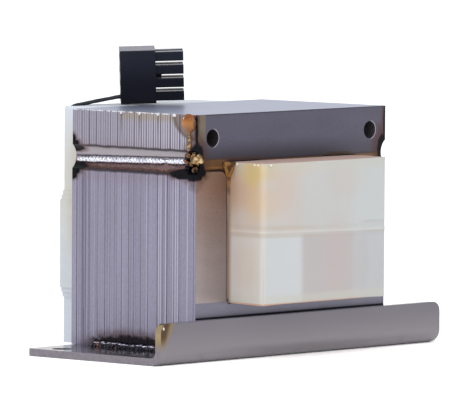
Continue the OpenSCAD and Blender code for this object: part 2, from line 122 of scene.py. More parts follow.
class Finish:
    """A node material under construction, f for short. Each method adds nodes and returns their output.
    What it is given may be a number, a colour or another output. x, y and z are places in millimetres."""

    def __init__(self, name, **sockets):
        self.material = bpy.data.materials.new(name)
        self.material.use_nodes = True
        self.tree = self.material.node_tree
        self.shader = self.tree.nodes["Principled BSDF"]
        for key, value in sockets.items():
            self.shader.inputs[key.replace("_", " ")].default_value = value
        metres = self.node("ShaderNodeTexCoord").outputs["Object"]
        self.place = self.node("ShaderNodeMapping", Vector=metres, Scale=(1 / MM,) * 3).outputs[0]
        self.x, self.y, self.z = self.node("ShaderNodeSeparateXYZ", Vector=self.place).outputs
        facing = self.node("ShaderNodeNewGeometry").outputs["True Normal"]
        sides = self.node("ShaderNodeSeparateXYZ", Vector=facing).outputs
        self.normal_x, self.normal_y, self.normal_z = sides

    def node(self, kind, settings=(), **sockets):
        """Adds a node with these settings, and gives its sockets what is named."""
        made = self.tree.nodes.new(kind)
        for key, value in dict(settings).items():
            setattr(made, key, value)
        for key, value in sockets.items():
            self.give(made.inputs[key.replace("_", " ")], value)
        return made

    def give(self, socket, value):
        """Links an output to a socket, or sets the socket to a number or a colour."""
        if isinstance(value, bpy.types.NodeSocket):
            self.tree.links.new(value, socket)
        elif isinstance(value, tuple):
            socket.default_value = value[:len(socket.default_value)]
        else:
            socket.default_value = value

    def math(self, operation, first, second=0.0, kind="ShaderNodeMath"):
        made = self.node(kind, {"operation": operation})
        self.give(made.inputs[0], first)
        self.give(made.inputs[1], second)
        return made.outputs[0]

    def all_of(self, operation, first, others):
        for other in others:
            first = self.math(operation, first, other)
        return first

    def times(self, first, *others):
        return self.all_of("MULTIPLY", first, others)

    def plus(self, first, *others):
        return self.all_of("ADD", first, others)

    def most(self, first, *others):
        return self.all_of("MAXIMUM", first, others)

    def absolute(self, value):
        return self.math("ABSOLUTE", value)

    def rise(self, value, start, end, low=0.0, high=1.0):
        """Goes smoothly from low to high while value goes from start to end."""
        made = self.node("ShaderNodeMapRange", {"interpolation_type": "SMOOTHSTEP"})
        keys = ("Value", "From Min", "From Max", "To Min", "To Max")
        for key, number in zip(keys, (value, start, end, low, high)):
            self.give(made.inputs[key], number)
        return made.outputs[0]

    def band(self, value, low, high, soft):
        """1 while value lies between low and high."""
        return self.times(self.rise(value, low - soft, low + soft),
                          self.rise(value, high + soft, high - soft))

    def line(self, value, middle, half, soft=0.1):
        """1 while value lies within half of the middle."""
        return self.band(value, middle - half, middle + half, soft)

    def noise(self, size, detail=2.0, stretch=(1, 1, 1), shift=0.0, rough=0.5):
        """Grey noise of about 0 to 1. size is that of its larger spots, stretch pulls them along the axes,
        and shift picks another stretch of it."""
        scaled = self.node("ShaderNodeMapping", Vector=self.place, Location=(shift,) * 3,
                           Scale=tuple(1 / (size * s) for s in stretch)).outputs[0]
        return self.node("ShaderNodeTexNoise", Vector=scaled, Scale=1.0, Detail=detail,
                         Roughness=rough).outputs["Fac"]

    def white(self, value):
        """A number from 0 to 1 drawn for each whole number."""
        return self.node("ShaderNodeTexWhiteNoise", {"noise_dimensions": "1D"}, W=value).outputs["Value"]

    def wander(self, value, reach, grain, shift=0.0):
        """The value, moved to and fro by up to reach over distances of grain."""
        return self.plus(value, self.times(self.plus(self.noise(grain, 3, shift=shift), -0.5), 2 * reach))

    def hypot(self, first, second):
        return self.math("SQRT", self.plus(self.times(first, first), self.times(second, second)))

    def spot(self, centre, reach, soft=0.3, ragged=0.0, grain=3.0):
        """1 inside an ellipsoid, with an edge that is soft and wanders by the ragged share of its reach."""
        away = self.math("SUBTRACT", self.place, centre, "ShaderNodeVectorMath")
        share = self.math("DIVIDE", away, reach, "ShaderNodeVectorMath")
        length = self.node("ShaderNodeVectorMath", {"operation": "LENGTH"})
        self.give(length.inputs[0], share)
        distance = length.outputs["Value"]
        if ragged:
            distance = self.wander(distance, ragged, grain)
        return self.rise(distance, 1 + soft, 1 - soft)

    def mix(self, share, first, second):
        made = self.node("ShaderNodeMix", {"data_type": "RGBA"})
        self.give(made.inputs[0], share)
        self.give(made.inputs[6], first)
        self.give(made.inputs[7], second)
        return made.outputs[2]

    def stain(self, colour, mask, strength, *over):
        """Lays a colour over another where the mask is 1."""
        return self.mix(self.times(mask, strength), colour, rgb(*over))

    def tone(self, colour, value, depth):
        """Darkens and lightens a colour by the depth share as value goes from 0 to 1."""
        level = self.plus(self.times(self.plus(value, -0.5), 2 * depth), 1.0)
        made = self.node("ShaderNodeVectorMath", {"operation": "SCALE"})
        self.give(made.inputs[0], colour)
        self.give(made.inputs["Scale"], level)
        return made.outputs[0]

    def paint(self, colour):
        self.give(self.shader.inputs["Base Color"], colour)
        return self

    def gloss(self, roughness):
        self.give(self.shader.inputs["Roughness"], roughness)
        return self

    def bump(self, height, depth):
        """Raises the surface by up to depth where height is 1."""
        made = self.node("ShaderNodeBump", Height=height, Distance=depth * MM, Strength=1.0)
        self.give(self.shader.inputs["Normal"], made.outputs[0])
        return self


def heat_marks(f, colour):
    """Heat colours in the weld grooves: a dark line on each lip, and grey and copper walls."""
    height = f.wander(f.plus(f.z, -joint_z), 0.35, 4.0)
    on_side = f.rise(f.absolute(f.x), core_half - 3.0, core_half - 2.2)
    over_bead = f.wander(f.plus(f.z, f.times(f.y, bead_fall), -bead_middle), 0.2, 2.0)
    for low, high, soft, strength, over in (  # heights over the joint
            (-7.0, 5.5, 2.0, 0.22, (120, 100, 104)),
            (0.8, 3.1, 0.3, 0.85, (158, 152, 156)),
            (-3.4, -0.6, 0.4, 0.9, (112, 88, 86)),
            (-3.5, -2.6, 0.3, 0.85, (86, 60, 54)),
            (3.0, 3.8, 0.3, 0.8, (56, 44, 48)),
            (-4.2, -3.3, 0.3, 0.85, (40, 32, 38))):
        colour = f.stain(colour, f.times(f.band(height, low, high, soft), on_side), strength, *over)
    lower_wall = f.times(f.band(height, -3.6, -0.4, 0.3), on_side)
    colour = f.mix(lower_wall, colour, f.tone(colour, f.noise(0.8, 3, (1, 1.6, 0.8), 8.0), 0.9))
    sparks = f.times(f.line(height, -2.6, 0.35, 0.2), f.rise(f.noise(0.45, 1), 0.6, 0.68),
                     f.band(f.y, front_y + 12.5, front_y + 16.5, 0.4), on_side)
    colour = f.stain(colour, sparks, 0.9, 226, 164, 124)
    return f.stain(colour, f.times(f.line(over_bead, 1.25, 0.2, 0.15), on_side), 0.8, 46, 38, 44)


def scorch(f, colour):
    """Black scale with brown halos where the joint welds start and stop."""
    black, brown = [], []
    for side in (-1, 1):
        edge = side * core_half
        for centre, reach, halo in (
                ((edge, back_y, joint_z + 2.6), (6, 4.1, 1.2), 1.35),
                ((edge, back_y, joint_z + 3.8), (6, 2.7, 1.3), 1.4),
                ((edge, back_y, joint_z + 5.2), (6, 1.3, 1.4), 1.5),
                ((edge, back_y - 0.6, joint_z - 2.9), (6, 5.4, 1.2), 1.2),
                ((edge, back_y, joint_z - 4.1), (6, 3.6, 1.3), 1.3),
                ((edge, back_y, joint_z - 5.6), (6, 1.9, 1.5), 1.3),
                ((edge, front_y + 5.4, joint_z - 3.6), (6, 5.4, 1.5), 1.25),
                ((edge, front_y + 1.2, joint_z - 2.6), (4.6, 5.0, 2.9), 1.25),
                ((edge - side * 0.2, front_y, joint_z + 1.0), (3.4, 3.0, 5.0), 1.6),
                ((edge, front_y, joint_z + 8.5), (0.8, 0.6, 6.5), 2.0)):
            black.append(f.spot(centre, reach, 0.14, 0.28, 1.6))
            brown.append(f.spot(centre, tuple(r * halo for r in reach), 0.35, 0.34, 2.2))
    colour = f.stain(colour, f.most(*brown), 0.75, 78, 52, 46)
    return f.stain(colour, f.most(*black), 1.0, 8, 9, 17)


def sheet_lines(f, colour, regular):
    """The cut edges of the sheets: lines along Z that differ from pair to pair of sheets."""
    count = f.math("DIVIDE", f.y, SHEET_PAIR)
    whole = f.math("FLOOR", count)
    part = f.math("FRACT", count)
    seam = f.most(f.rise(part, 0.22, 0.0), f.rise(part, 0.78, 1.0))
    ridge_highlight = f.line(part, 0.5, 0.16, 0.12)
    # one tone for each pair, then streaks, scratches, broad patches and specks
    colour = f.tone(colour, f.white(whole), 0.02 if regular else 0.035)
    colour = f.tone(colour, f.noise(0.9, 3, (60, 0.55, 60), 3.1, 0.6), 0.1 if regular else 0.13)
    colour = f.tone(colour, f.noise(0.4, 1, (90, 0.5, 90), 6.3), 0.13)
    colour = f.tone(colour, f.noise(5, 2, (8, 0.6, 12), 7.7), 0.1)
    colour = f.tone(colour, f.noise(0.5, 2, (1, 1, 1.6), 1.3), 0.16)
    # dark seams between the pairs, and painted highlights on the ridges of the pairs, stronger towards the
    # front
    chance = f.white(f.plus(whole, 31.5))
    fore = f.rise(f.y, back_y - 14, front_y + 12)
    if regular:
        dark = f.plus(0.2, f.times(fore, 0.2), f.times(chance, 0.08))
        light = f.plus(0.12, f.times(fore, 0.42), f.times(chance, 0.12))
    else:
        dark = f.plus(0.06, f.times(f.rise(chance, 0.76, 0.84), 0.4))
        light = f.times(f.rise(chance, 0.35, 0.2), f.plus(0.12, f.times(fore, 0.35)))
        for behind, width, strength in ((4.4, 0.2, 0.7), (5.7, 0.2, 0.75), (7.3, 0.14, 0.55),
                                        (10.4, 0.12, 0.4), (15.8, 0.1, 0.35), (37.5, 0.14, 0.5)):
            colour = f.stain(colour, f.line(f.y, back_y - behind, width, 0.15), strength, 60, 56, 72)
    colour = f.stain(colour, f.times(seam, dark), 1.0, 72, 68, 82)
    # painted highlights along the ridges
    return f.stain(colour, f.times(ridge_highlight, light), 1.0, 200, 198, 212)


def steel_face(f, colour):
    """The flat of a sheet: a brushed grain with small pits."""
    colour = f.tone(colour, f.noise(9, 4, (1.6, 1, 0.5), 5.0), 0.1)
    colour = f.tone(colour, f.noise(0.5, 1, (4, 1, 1), 2.0), 0.05)
    return f.tone(colour, f.noise(0.4, 1), 0.08)


def holes(f, colour, on_face):
    """Painted shade on the walls of the corner holes, and a painted highlight on the rim at the right of
    each.
    """
    for level in (hole_z, plate_top + core_top - hole_z):
        across, up = f.plus(f.absolute(f.x), -HOLE_X), f.plus(f.z, -level)
        away = f.hypot(across, up)
        right = f.times(across, f.math("SIGN", f.x))
        # a painted highlight on the right side of each rim
        lit = f.times(f.line(away, HOLE_R + 0.16, 0.12, 0.08), on_face, f.rise(right, 0.0, 1.6))
        colour = f.stain(colour, lit, 0.75, 184, 182, 190)
        # painted shade on the walls inside the hole
        colour = f.stain(colour, f.rise(away, HOLE_R + 0.06, HOLE_R - 0.02), 0.9, 74, 68, 66)
    return colour


def finish_core(f, sides, face):
    """Joins the looks of the sides, the faces and the top, and lays the weld's marks over them."""
    on_face, on_top = f.rise(f.absolute(f.normal_y), 0.55, 0.75), f.rise(f.normal_z, 0.5, 0.8)
    # the top is painted paler and bluer than the sides: a painted reflection of the bright surroundings it
    # faces
    top = f.tone(f.tone(rgb(150, 157, 183), f.noise(0.5, 2, (6, 1, 1)), 0.04), f.noise(18, 2), 0.07)
    colour = f.mix(on_face, f.mix(on_top, sides, top), face)
    f.paint(holes(f, scorch(f, heat_marks(f, colour)), on_face))
    f.gloss(f.rise(f.most(on_face, on_top), 0.0, 1.0, 0.42, 0.36))
    return f.bump(f.plus(f.noise(2, 3), f.times(f.noise(0.45, 1), 0.3)), 0.008)


def e_finish():
    """The E sheets: legs stained with varnish and painted with a reflection of the coil, a burnt foot at
    the base welds, and painted shade in a strip behind the flange.
    """
    f = Finish("core steel e", Metallic=0.75, Specular_IOR_Level=0.2)
    sides = sheet_lines(f, rgb(136, 133, 152), False)
    foot = f.rise(f.z, plate_top + 4.5, plate_top + 1.0)
    sides = f.stain(sides, foot, 0.25, 96, 90, 104)
    for side in (-1, 1):
        weld_foot = (side * core_half, (foot_low.y + foot_high.y) / 2, plate_top + 0.6)
        sides = f.stain(sides, f.spot(weld_foot, (5, 18.5, 5.0), 0.3, 0.3, 2.4), 0.7, 84, 64, 66)
        sides = f.stain(sides, f.spot(weld_foot, (5, 17.6, 3.3), 0.2, 0.4, 1.7), 0.95, 18, 16, 22)
    # the legs are browner higher up, from varnish and from a painted reflection of the stained coil beside
    # them, and the varnish ends at a line over the yoke
    leg = f.mix(f.rise(f.z, 24, 46), rgb(160, 149, 149), rgb(150, 131, 125))
    leg = f.mix(f.rise(f.wander(f.z, 3, 12), 44, 52), leg, rgb(144, 119, 108))
    face = f.mix(f.rise(f.wander(f.z, 0.1, 5), yoke_top + 0.9, yoke_top + 0.6), leg, rgb(121, 120, 134))
    specks = f.times(f.rise(f.noise(0.55, 1, shift=11.0), 0.73, 0.78),
                     f.rise(f.z, yoke_top + 6, yoke_top + 12))
    face = f.stain(face, specks, 0.7, 60, 46, 44)
    flange_shade, flange_dark = 13.15, 12.8  # painted shade on the yoke behind the flange, from just over the flange's edge
    face = f.stain(face, f.rise(f.z, flange_shade, flange_dark), 0.92, 12, 12, 20)
    # the film's edge: a dark line that runs up beside the coil and turns out under the bar, partly painted
    # shade beside the coil, with a painted highlight just inside it under the bar
    corner_x, corner_z, turn = 32.2, joint_z - 5.8, 3.1
    away = f.hypot(f.most(f.plus(corner_x, f.times(f.absolute(f.x), -1)), 0.0),
                   f.most(f.plus(f.z, -corner_z), 0.0))
    away = f.wander(away, 0.12, 2.5)
    away = f.times(away, f.rise(f.z, yoke_top + 0.4, yoke_top + 1.0))
    face = f.stain(face, f.rise(away, turn - 0.1, turn + 0.4), 0.9, 102, 74, 46)
    # a painted highlight in the amber under the bar
    glint = f.times(f.line(away, turn + 1.0, 0.25, 0.2), f.rise(f.z, joint_z - 5, joint_z - 3))
    face = f.stain(face, glint, 0.8, 146, 106, 66)
    # the film's dark edge, also painted shade beside the coil
    edge = f.times(f.line(away, turn + 0.1, 0.36, 0.15), f.rise(f.z, 30, joint_z - 5, 0.4, 1.0))
    face = f.stain(face, edge, 0.95, 36, 30, 32)
    return finish_core(f, sides, steel_face(f, face))


def bar_finish():
    """The I sheets: darker faces, old varnish along the top of the left side, painted highlights along its
    top edge, and painted shade along the face's lower edge.
    """
    f = Finish("core steel i", Metallic=0.75, Specular_IOR_Level=0.2)
    sides = sheet_lines(f, rgb(138, 134, 148), True)
    top_stain = f.times(f.rise(f.wander(f.z, 0.8, 1.4), core_top - 3.4, core_top - 1.4),
                        f.band(f.y, front_y + 8, front_y + 31, 3))
    sides = f.stain(sides, top_stain, 0.5, 146, 132, 106)
    for drop in range(3):
        run = f.times(f.line(f.y, front_y + 15.7 + 7.5 * drop, 0.25, 0.2),
                      f.rise(f.z, joint_z + 4, core_top - 1))
        sides = f.stain(sides, run, 0.7, 84, 68, 62)
    # painted highlights in dashes along the top edge of the side
    edge = f.times(f.rise(f.z, core_top - 0.4, core_top - 0.2),
                   f.rise(f.noise(0.9, 2, shift=4.0), 0.42, 0.56))
    sides = f.stain(sides, edge, 0.85, 226, 226, 236)
    # a smooth film of varnish round the big drop, which hides the sheets
    corner = (left_x, front_y, core_top + 0.3)
    film = f.spot(corner, (6, 9.5, 7.9), 0.03, 0.02)
    sides = f.stain(sides, film, 0.85, 118, 106, 102)
    beyond = f.plus(1.0, f.times(f.spot(corner, (6, 8.6, 7.0), 0.08), -1))
    rim = f.times(f.spot(corner, (6, 9.9, 8.3), 0.05, 0.02), beyond)
    sides = f.stain(sides, rim, 0.6, 92, 78, 68)
    face = f.mix(f.rise(f.z, joint_z + 1, joint_z + 7), rgb(69, 67, 77), rgb(88, 86, 101))
    face = f.stain(face, f.rise(f.z, core_top - 0.5, core_top - 0.25), 0.7, 62, 60, 68)
    face = f.stain(face, f.rise(f.x, 8, 40), 0.3, 96, 92, 104)
    # varnish that ran down the front left edge, and amber along the coil
    edge_x = f.plus(f.x, -left_x)
    run = f.times(f.band(f.wander(edge_x, 0.15, 4), 0.7, 4.1, 0.25),
                  f.rise(f.z, joint_z + 4.5, joint_z + 7.5))
    face = f.stain(face, run, 0.75, 118, 108, 86)
    burnt = f.times(f.rise(edge_x, 1.3, 0.6), f.rise(f.z, core_top, joint_z + 8))
    face = f.stain(face, burnt, 0.8, 52, 38, 34)
    # painted shade along the bar's lower edge over the coil, browner towards the left, with a dark line of
    # it right at the edge
    lower_edge_shade = f.times(f.rise(f.wander(f.z, 0.6, 5), joint_z + 1.7, joint_z + 0.2), f.rise(f.x, -8, -22))
    face = f.stain(face, lower_edge_shade, 0.8, 84, 56, 42)
    face = f.stain(face, f.rise(f.wander(f.z, 0.3, 5), joint_z + 0.9, joint_z + 0.2), 0.6, 60, 50, 50)
    smear = f.times(f.rise(f.z, joint_z + 1.4, joint_z + 0.7), f.band(f.x, 16, 27, 1.5))
    face = f.stain(face, smear, 0.8, 66, 56, 40)
    gold = f.times(f.rise(f.wander(f.z, 0.3, 2), joint_z + 0.9, joint_z + 0.3), f.rise(f.x, -28.5, -30.5))
    face = f.stain(face, gold, 0.8, 116, 86, 58)
    return finish_core(f, sides, steel_face(f, face))


def dress(name, finish):
    """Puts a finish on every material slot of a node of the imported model."""
    for slot in NODES[name].material_slots:
        slot.material = finish.material
    if not NODES[name].material_slots:
        NODES[name].data.materials.append(finish.material)


def plate_finish():
    """The folded plate: rolled steel with bright cut ends, burnt beside the welds and at one corner,
    painted lighter towards the flange's foot as a reflection, with painted shade along the bend.
    """
    f = Finish("plate steel", Metallic=0.7)
    # lighter towards the bottom: a painted reflection on the flange's face
    colour = f.mix(f.rise(f.z, plate_high.z, 1.5), rgb(113, 109, 117), rgb(130, 126, 131))
    colour = f.tone(f.tone(colour, f.noise(12, 4, (3, 1, 0.6)), 0.07), f.noise(0.5, 2), 0.07)
    on_front = f.rise(f.normal_y, -0.6, -0.9)
    # painted shade along the bend at the foot of the flange
    colour = f.stain(colour, f.times(on_front, f.rise(f.z, 0.9, 0.4)), 0.6, 84, 82, 92)
    upper_edge = f.rise(f.z, plate_high.z - 0.5, plate_high.z - 0.2)
    colour = f.stain(colour, f.times(on_front, upper_edge), 0.5, 104, 102, 112)
    cut = f.rise(f.absolute(f.normal_x), 0.6, 0.8)
    colour = f.mix(cut, colour, f.tone(rgb(122, 117, 125), f.noise(0.8, 3), 0.3))
    for side in (-1, 1):
        scale = f.spot((side * (core_half + 2), -3, plate_top), (7, 22, 3), 0.25, 0.3)
        colour = f.stain(colour, scale, 0.85, 46, 44, 52)
    flange = f.rise(f.y, front_y - 2.4, front_y - 2.9)
    from_end = f.plus(f.x, -plate_low.x)
    slanted = f.plus(f.wander(from_end, 0.5, 3), f.times(f.z, -0.5))
    amber = f.times(flange, f.rise(slanted, 0.5, -1.8), f.rise(f.z, 3.5, 8))
    colour = f.stain(colour, amber, 0.8, 134, 112, 70)
    tip = f.times(f.rise(f.plus(from_end, f.times(f.z, -0.36)), 0.4, -1.6), f.rise(f.z, 5, 9), flange)
    colour = f.stain(colour, f.times(tip, on_front), 0.85, 58, 40, 26)
    end_face = f.times(flange, f.rise(f.normal_x, -0.3, -0.7), f.rise(f.z, 5, 10))
    colour = f.stain(colour, end_face, 0.6, 164, 148, 112)
    f.gloss(f.rise(f.normal_z, 0.5, 0.9, 0.3, 0.14))
    return f.paint(colour).bump(f.noise(3, 3), 0.008)


def plain_finish(name, colour, roughness, grain, depth, **sockets):
    """A finish of one colour, mottled by fine and by broad noise."""
    f = Finish(name, Roughness=roughness, **sockets)
    colour = f.tone(f.tone(colour, f.noise(grain, 3), depth), f.noise(grain * 12, 2), depth)
    return f.paint(colour).bump(f.noise(grain, 3, shift=2.0), 0.02)


def paper_finish():
    """Insulating paper: pink on its cut top, pale where the tape covers it."""
    f = Finish("coil paper", Roughness=0.8)
    colour = f.mix(f.rise(f.absolute(f.normal_z), 0.5, 0.8), rgb(204, 200, 192), rgb(190, 162, 154))
    return f.paint(f.tone(colour, f.noise(0.5, 3), 0.08)).bump(f.noise(0.5, 3, shift=2.0), 0.02)


def bright_weld_finish():
    """White metal with painted shade in slanted grey lines between its ripples, and a duller, pinkish lower
    half that is a painted reflection of the darker things below it.
    """
    f = Finish("bright weld", Roughness=0.14, Metallic=0.95)
    height = f.plus(f.z, f.times(f.y, bead_fall), -bead_middle)
    phase = f.wander(f.plus(f.times(f.y, 1 / RIPPLE), f.times(height, -0.45)), 0.45, 3.0)
    ripple_shade = f.rise(f.absolute(f.plus(f.math("FRACT", phase), -0.5)), 0.3, 0.48)
    strength = f.rise(f.noise(2.2, 2, shift=6.0), 0.35, 0.6)
    colour = f.tone(rgb(206, 208, 220), f.noise(0.7, 3), 0.3)
    # painted shade in the valleys between the ripples
    colour = f.stain(colour, f.times(ripple_shade, strength), 0.85, 70, 64, 76)
    # the lower half painted duller and pinkish: a painted reflection
    low = f.rise(f.wander(height, 0.2, 1.5), -0.15, -0.75)
    colour = f.stain(colour, low, 0.8, 104, 86, 90)
    return f.paint(colour).bump(f.noise(0.6, 3), 0.05)


def burnt_weld_finish():
    """Black scale with rusty patches, and a painted highlight in broken glints along the top of the bead.
    """
    f = Finish("burnt weld", Roughness=0.12, Metallic=0.9)
    colour = f.tone(rgb(26, 25, 34), f.noise(1.2, 3), 0.7)
    colour = f.stain(colour, f.rise(f.noise(2.0, 2, shift=9.0), 0.62, 0.72), 0.7, 112, 76, 60)
    # a painted highlight in broken lines along the top of the bead
    crest_highlight = f.times(f.line(f.wander(f.z, 0.5, 1.3), plate_top + 1.3, 0.16, 0.12),
                    f.rise(f.noise(1.6, 2, (1, 1, 0.1), 3.0), 0.44, 0.54))
    colour = f.stain(colour, crest_highlight, 0.85, 210, 206, 224)
    return f.paint(colour).bump(f.noise(0.8, 3), 0.12)


def spatter_finish():
    """Frozen drops of weld, brass and black, under varnish."""
    f = Finish("weld spatter", Roughness=0.1, Metallic=0.9)
    middle = (left_x + 0.4, front_y + 0.5, joint_z + 0.9)
    lump = f.spot(middle, (3, 2.1, 2.1), 0.2, 0.2, 1.5)
    heart = f.spot(middle, (3, 0.9, 1.0), 0.35, 0.3, 1.2)
    brass = f.mix(f.rise(f.noise(2.0, 1), 0.3, 0.7), rgb(120, 92, 60), rgb(196, 172, 128))
    brass = f.stain(brass, heart, 0.85, 92, 62, 42)
    dark = f.mix(f.rise(f.noise(1.8, 1), 0.48, 0.68), rgb(14, 14, 20), rgb(112, 80, 54))
    return f.paint(f.mix(lump, dark, brass)).bump(f.noise(1.4, 1), 0.06)


def varnish_finish():
    """Amber glass, darker where it is thick, with painted shade along the drop's front edge. The drop's
    tail is brass, and the small drops are painted with a highlight on their top and brown shade below it."""
    f = Finish("varnish", Roughness=0.08, Specular_IOR_Level=0.15, Coat_Weight=0.6, Coat_Roughness=0.06)
    colour = f.mix(f.rise(f.z, core_top - 0.9, core_top - 2.1), rgb(134, 68, 0), rgb(174, 108, 34))
    colour = f.stain(colour, f.rise(f.z, core_top - 2.5, core_top - 4.7), 0.9, 134, 78, 28)
    # painted shade along the drop's front edge, where it turns round the corner
    colour = f.stain(colour, f.rise(f.y, front_y + 1.1, front_y + 0.3), 0.9, 46, 22, 16)
    tail = f.rise(f.z, joint_z + 9.4, joint_z + 8.2)
    colour = f.stain(colour, tail, 0.8, 96, 70, 44)
    colour = f.stain(colour, f.times(tail, f.rise(f.noise(0.9, 2), 0.5, 0.62)), 0.7, 204, 168, 106)
    # the small drops: painted shade below, and a painted highlight on their top
    small = f.rise(f.y, front_y + 7, front_y + 8)
    colour = f.stain(colour, small, 0.8, 96, 78, 70)
    bright = f.times(small, f.rise(f.z, core_top - 1.0, core_top - 0.7))
    colour = f.stain(colour, bright, 0.95, 236, 236, 244)
    return f.paint(f.tone(colour, f.noise(1.4, 2), 0.14))


def old_varnish_finish():
    """Varnish dried beside the coil: amber with brown veins, thinner lower down."""
    f = Finish("old varnish", Roughness=0.25, Specular_IOR_Level=0.15)
    veins = f.rise(f.noise(1.3, 3, (1, 1, 1.6), 4.0), 0.42, 0.58)
    colour = f.mix(veins, rgb(74, 46, 22), rgb(146, 102, 50))
    colour = f.mix(f.rise(f.z, joint_z - 5, joint_z - 14), colour, rgb(148, 128, 114))
    return f.paint(f.tone(colour, f.noise(0.8, 2), 0.15)).bump(f.noise(0.8, 3), 0.1)


def tape_finish():
    """Glassy white tape over paper, which shows through as pale fields."""
    f = Finish("wrap tape", Roughness=0.34, Specular_IOR_Level=0.35, Coat_Weight=0.2, Coat_Roughness=0.12)
    fore = wrap_low.y
    x = f.wander(f.x, 0.6, 9)
    upper = f.rise(f.z, LAP_Z - 1.7, LAP_Z + 0.3)
    on_end = f.rise(f.absolute(f.normal_y), 0.4, 0.8)
    left, right = f.rise(x, -9.8, -12.8), f.rise(x, 10.4, 14.4)
    low = f.mix(left, f.mix(right, rgb(196, 190, 190), rgb(198, 200, 203)), rgb(210, 214, 216))
    high = f.mix(f.rise(x, -9.0, -14.0), f.mix(f.rise(x, 9, 15), rgb(205, 205, 204), rgb(206, 211, 212)),
                 rgb(208, 201, 197))
    end = f.mix(upper, low, high)
    # fainter patches in the fields
    for centre, reach, strength, over in (
            ((4, fore, 30), (5, 9, 11), 0.3, (200, 182, 176)),
            ((16, fore, 27), (3, 9, 8), 0.3, (192, 184, 184)),
            ((-19, fore, 53), (4, 9, 8), 0.45, (214, 192, 176)),
            ((-14, fore, 58), (8, 9, 2.5), 0.4, (216, 196, 176)),
            ((9, fore, 53), (9, 9, 5), 0.3, (206, 196, 186))):
        end = f.stain(end, f.spot(centre, reach, 0.6, 0.25, 6), strength, *over)
    side = f.mix(upper, rgb(212, 208, 204), rgb(207, 195, 186))
    colour = f.mix(on_end, side, end)
    fold = f.times(f.rise(f.y, fore + 4.0, fore + 1.2), f.rise(f.absolute(f.x), 25.4, 27.2))
    colour = f.stain(colour, fold, 0.22, 206, 202, 190)
    rim = f.most(f.rise(f.z, wrap_low.z + 3.4, wrap_low.z + 1.9),
                 f.rise(f.z, wrap_high.z - 4.2, wrap_high.z - 1.6))
    colour = f.stain(colour, rim, 0.55, 208, 206, 196)
    # varnish that soaked in on the left side
    for centre, reach, strength, over in (
            ((wrap_low.x, fore + 9, 50), (9, 6.5, 5.0), 0.7, (206, 172, 146)),
            ((wrap_low.x, fore + 3.6, 47.5), (9, 3.8, 5.4), 0.6, (218, 190, 150)),
            ((wrap_low.x, fore + 4.8, 56.2), (9, 4.4, 4.2), 0.85, (216, 190, 126)),
            ((wrap_low.x, fore + 10, 56), (9, 3.0, 2.6), 0.4, (214, 196, 152)),
            ((wrap_low.x, fore + 8, 28), (9, 5.0, 8.0), 0.35, (212, 190, 170))):
        colour = f.stain(colour, f.spot(centre, reach, 0.6, 0.25, 5), strength, *over)
    # painted shade in bands along the crease, which sinks a little towards +X
    from_lap = f.plus(f.z, f.times(f.plus(LAP_Z, f.times(f.x, -LAP_FALL)), -1))
    near_left = f.rise(f.x, 4, -16, 0.3, 1.0)
    for height, half, soft, where, over in (
            (1.3, 0.4, 0.8, near_left, (192, 178, 156)),
            (-1.2, 0.35, 0.7, near_left, (192, 178, 156)),
            (2.3, 0.3, 0.5, f.rise(f.x, 13, 19), (180, 182, 178)),
            (-0.6, 0.2, 0.3, f.rise(f.x, 12, 20), (182, 176, 170))):
        colour = f.stain(colour, f.times(f.line(from_lap, height, half, soft), where), 0.5, *over)
    # a painted highlight along the middle of the crease
    colour = f.stain(colour, f.line(from_lap, 0.0, 0.2, 0.35), 0.45, 230, 227, 216)
    colour = f.tone(colour, f.noise(14, 3), 0.035)
    # brown along the lower hem and towards the core
    hem = f.rise(f.z, wrap_low.z + 0.45, wrap_low.z + 0.1)
    colour = f.stain(colour, f.times(hem, f.rise(f.x, 24, 12)), 0.7, 196, 138, 96)
    colour = f.stain(colour, f.rise(f.y, front_y - 1.4, front_y - 0.2), 0.6, 158, 138, 122)
    soaked = f.times(f.rise(f.y, front_y - 5.0, front_y - 0.6), f.rise(f.z, 38, 52))
    colour = f.stain(colour, soaked, 0.55, 168, 134, 104)
    pooled = f.times(f.rise(f.y, front_y - 3.0, front_y - 1.0), f.rise(f.z, 53, 58))
    colour = f.stain(colour, pooled, 0.8, 128, 84, 40)
    return f.paint(colour).bump(f.noise(6, 3), 0.08)


def cover_finish(name, stand_out):
    """White insulating sheet: bluish at the top, stained with varnish beside the stack."""
    f = Finish(name, Roughness=0.5, Specular_IOR_Level=0.3)
    colour = f.mix(f.rise(f.z, 50, 64), rgb(214, 219, 224), rgb(222, 229, 240))
    colour = f.mix(f.rise(f.z, 24, 8), colour, rgb(216, 223, 234))
    stain = f.spot((cover_low.x, back_y + 12, 52), (20, 9, 16), 0.5, 0.2, 8)
    colour = f.stain(colour, stain, 0.5, 220, 215, 200)
    near = f.times(f.rise(f.y, back_y + 14.5, back_y + 12), f.band(f.z, 30, 66, 6))
    colour = f.stain(colour, near, 0.4, 206, 196, 174)
    if stand_out:
        colour = f.tone(colour, f.noise(7, 2, (1, 1, 0.3)), 0.05)
    colour = f.tone(f.tone(colour, f.noise(1.2, 3), 0.025), f.noise(16, 2), 0.03)
    return f.paint(colour).bump(f.noise(5, 3), 0.1)


def nylon_finish():
    """Black moulded nylon, paler towards the top, where the light falls along it."""
    f = Finish("plug nylon", Roughness=0.24, Specular_IOR_Level=0.1)
    colour = f.mix(f.rise(f.z, core_top + 4, core_top + 15), rgb(14, 15, 24), rgb(29, 33, 44))
    # a painted reflection on the faces that look up
    colour = f.stain(colour, f.rise(f.normal_z, 0.6, 0.9), 0.85, 112, 112, 130)
    colour = f.tone(f.tone(colour, f.noise(0.4, 3), 0.1), f.noise(5, 2), 0.12)
    return f.paint(colour).bump(f.noise(0.4, 3), 0.02)


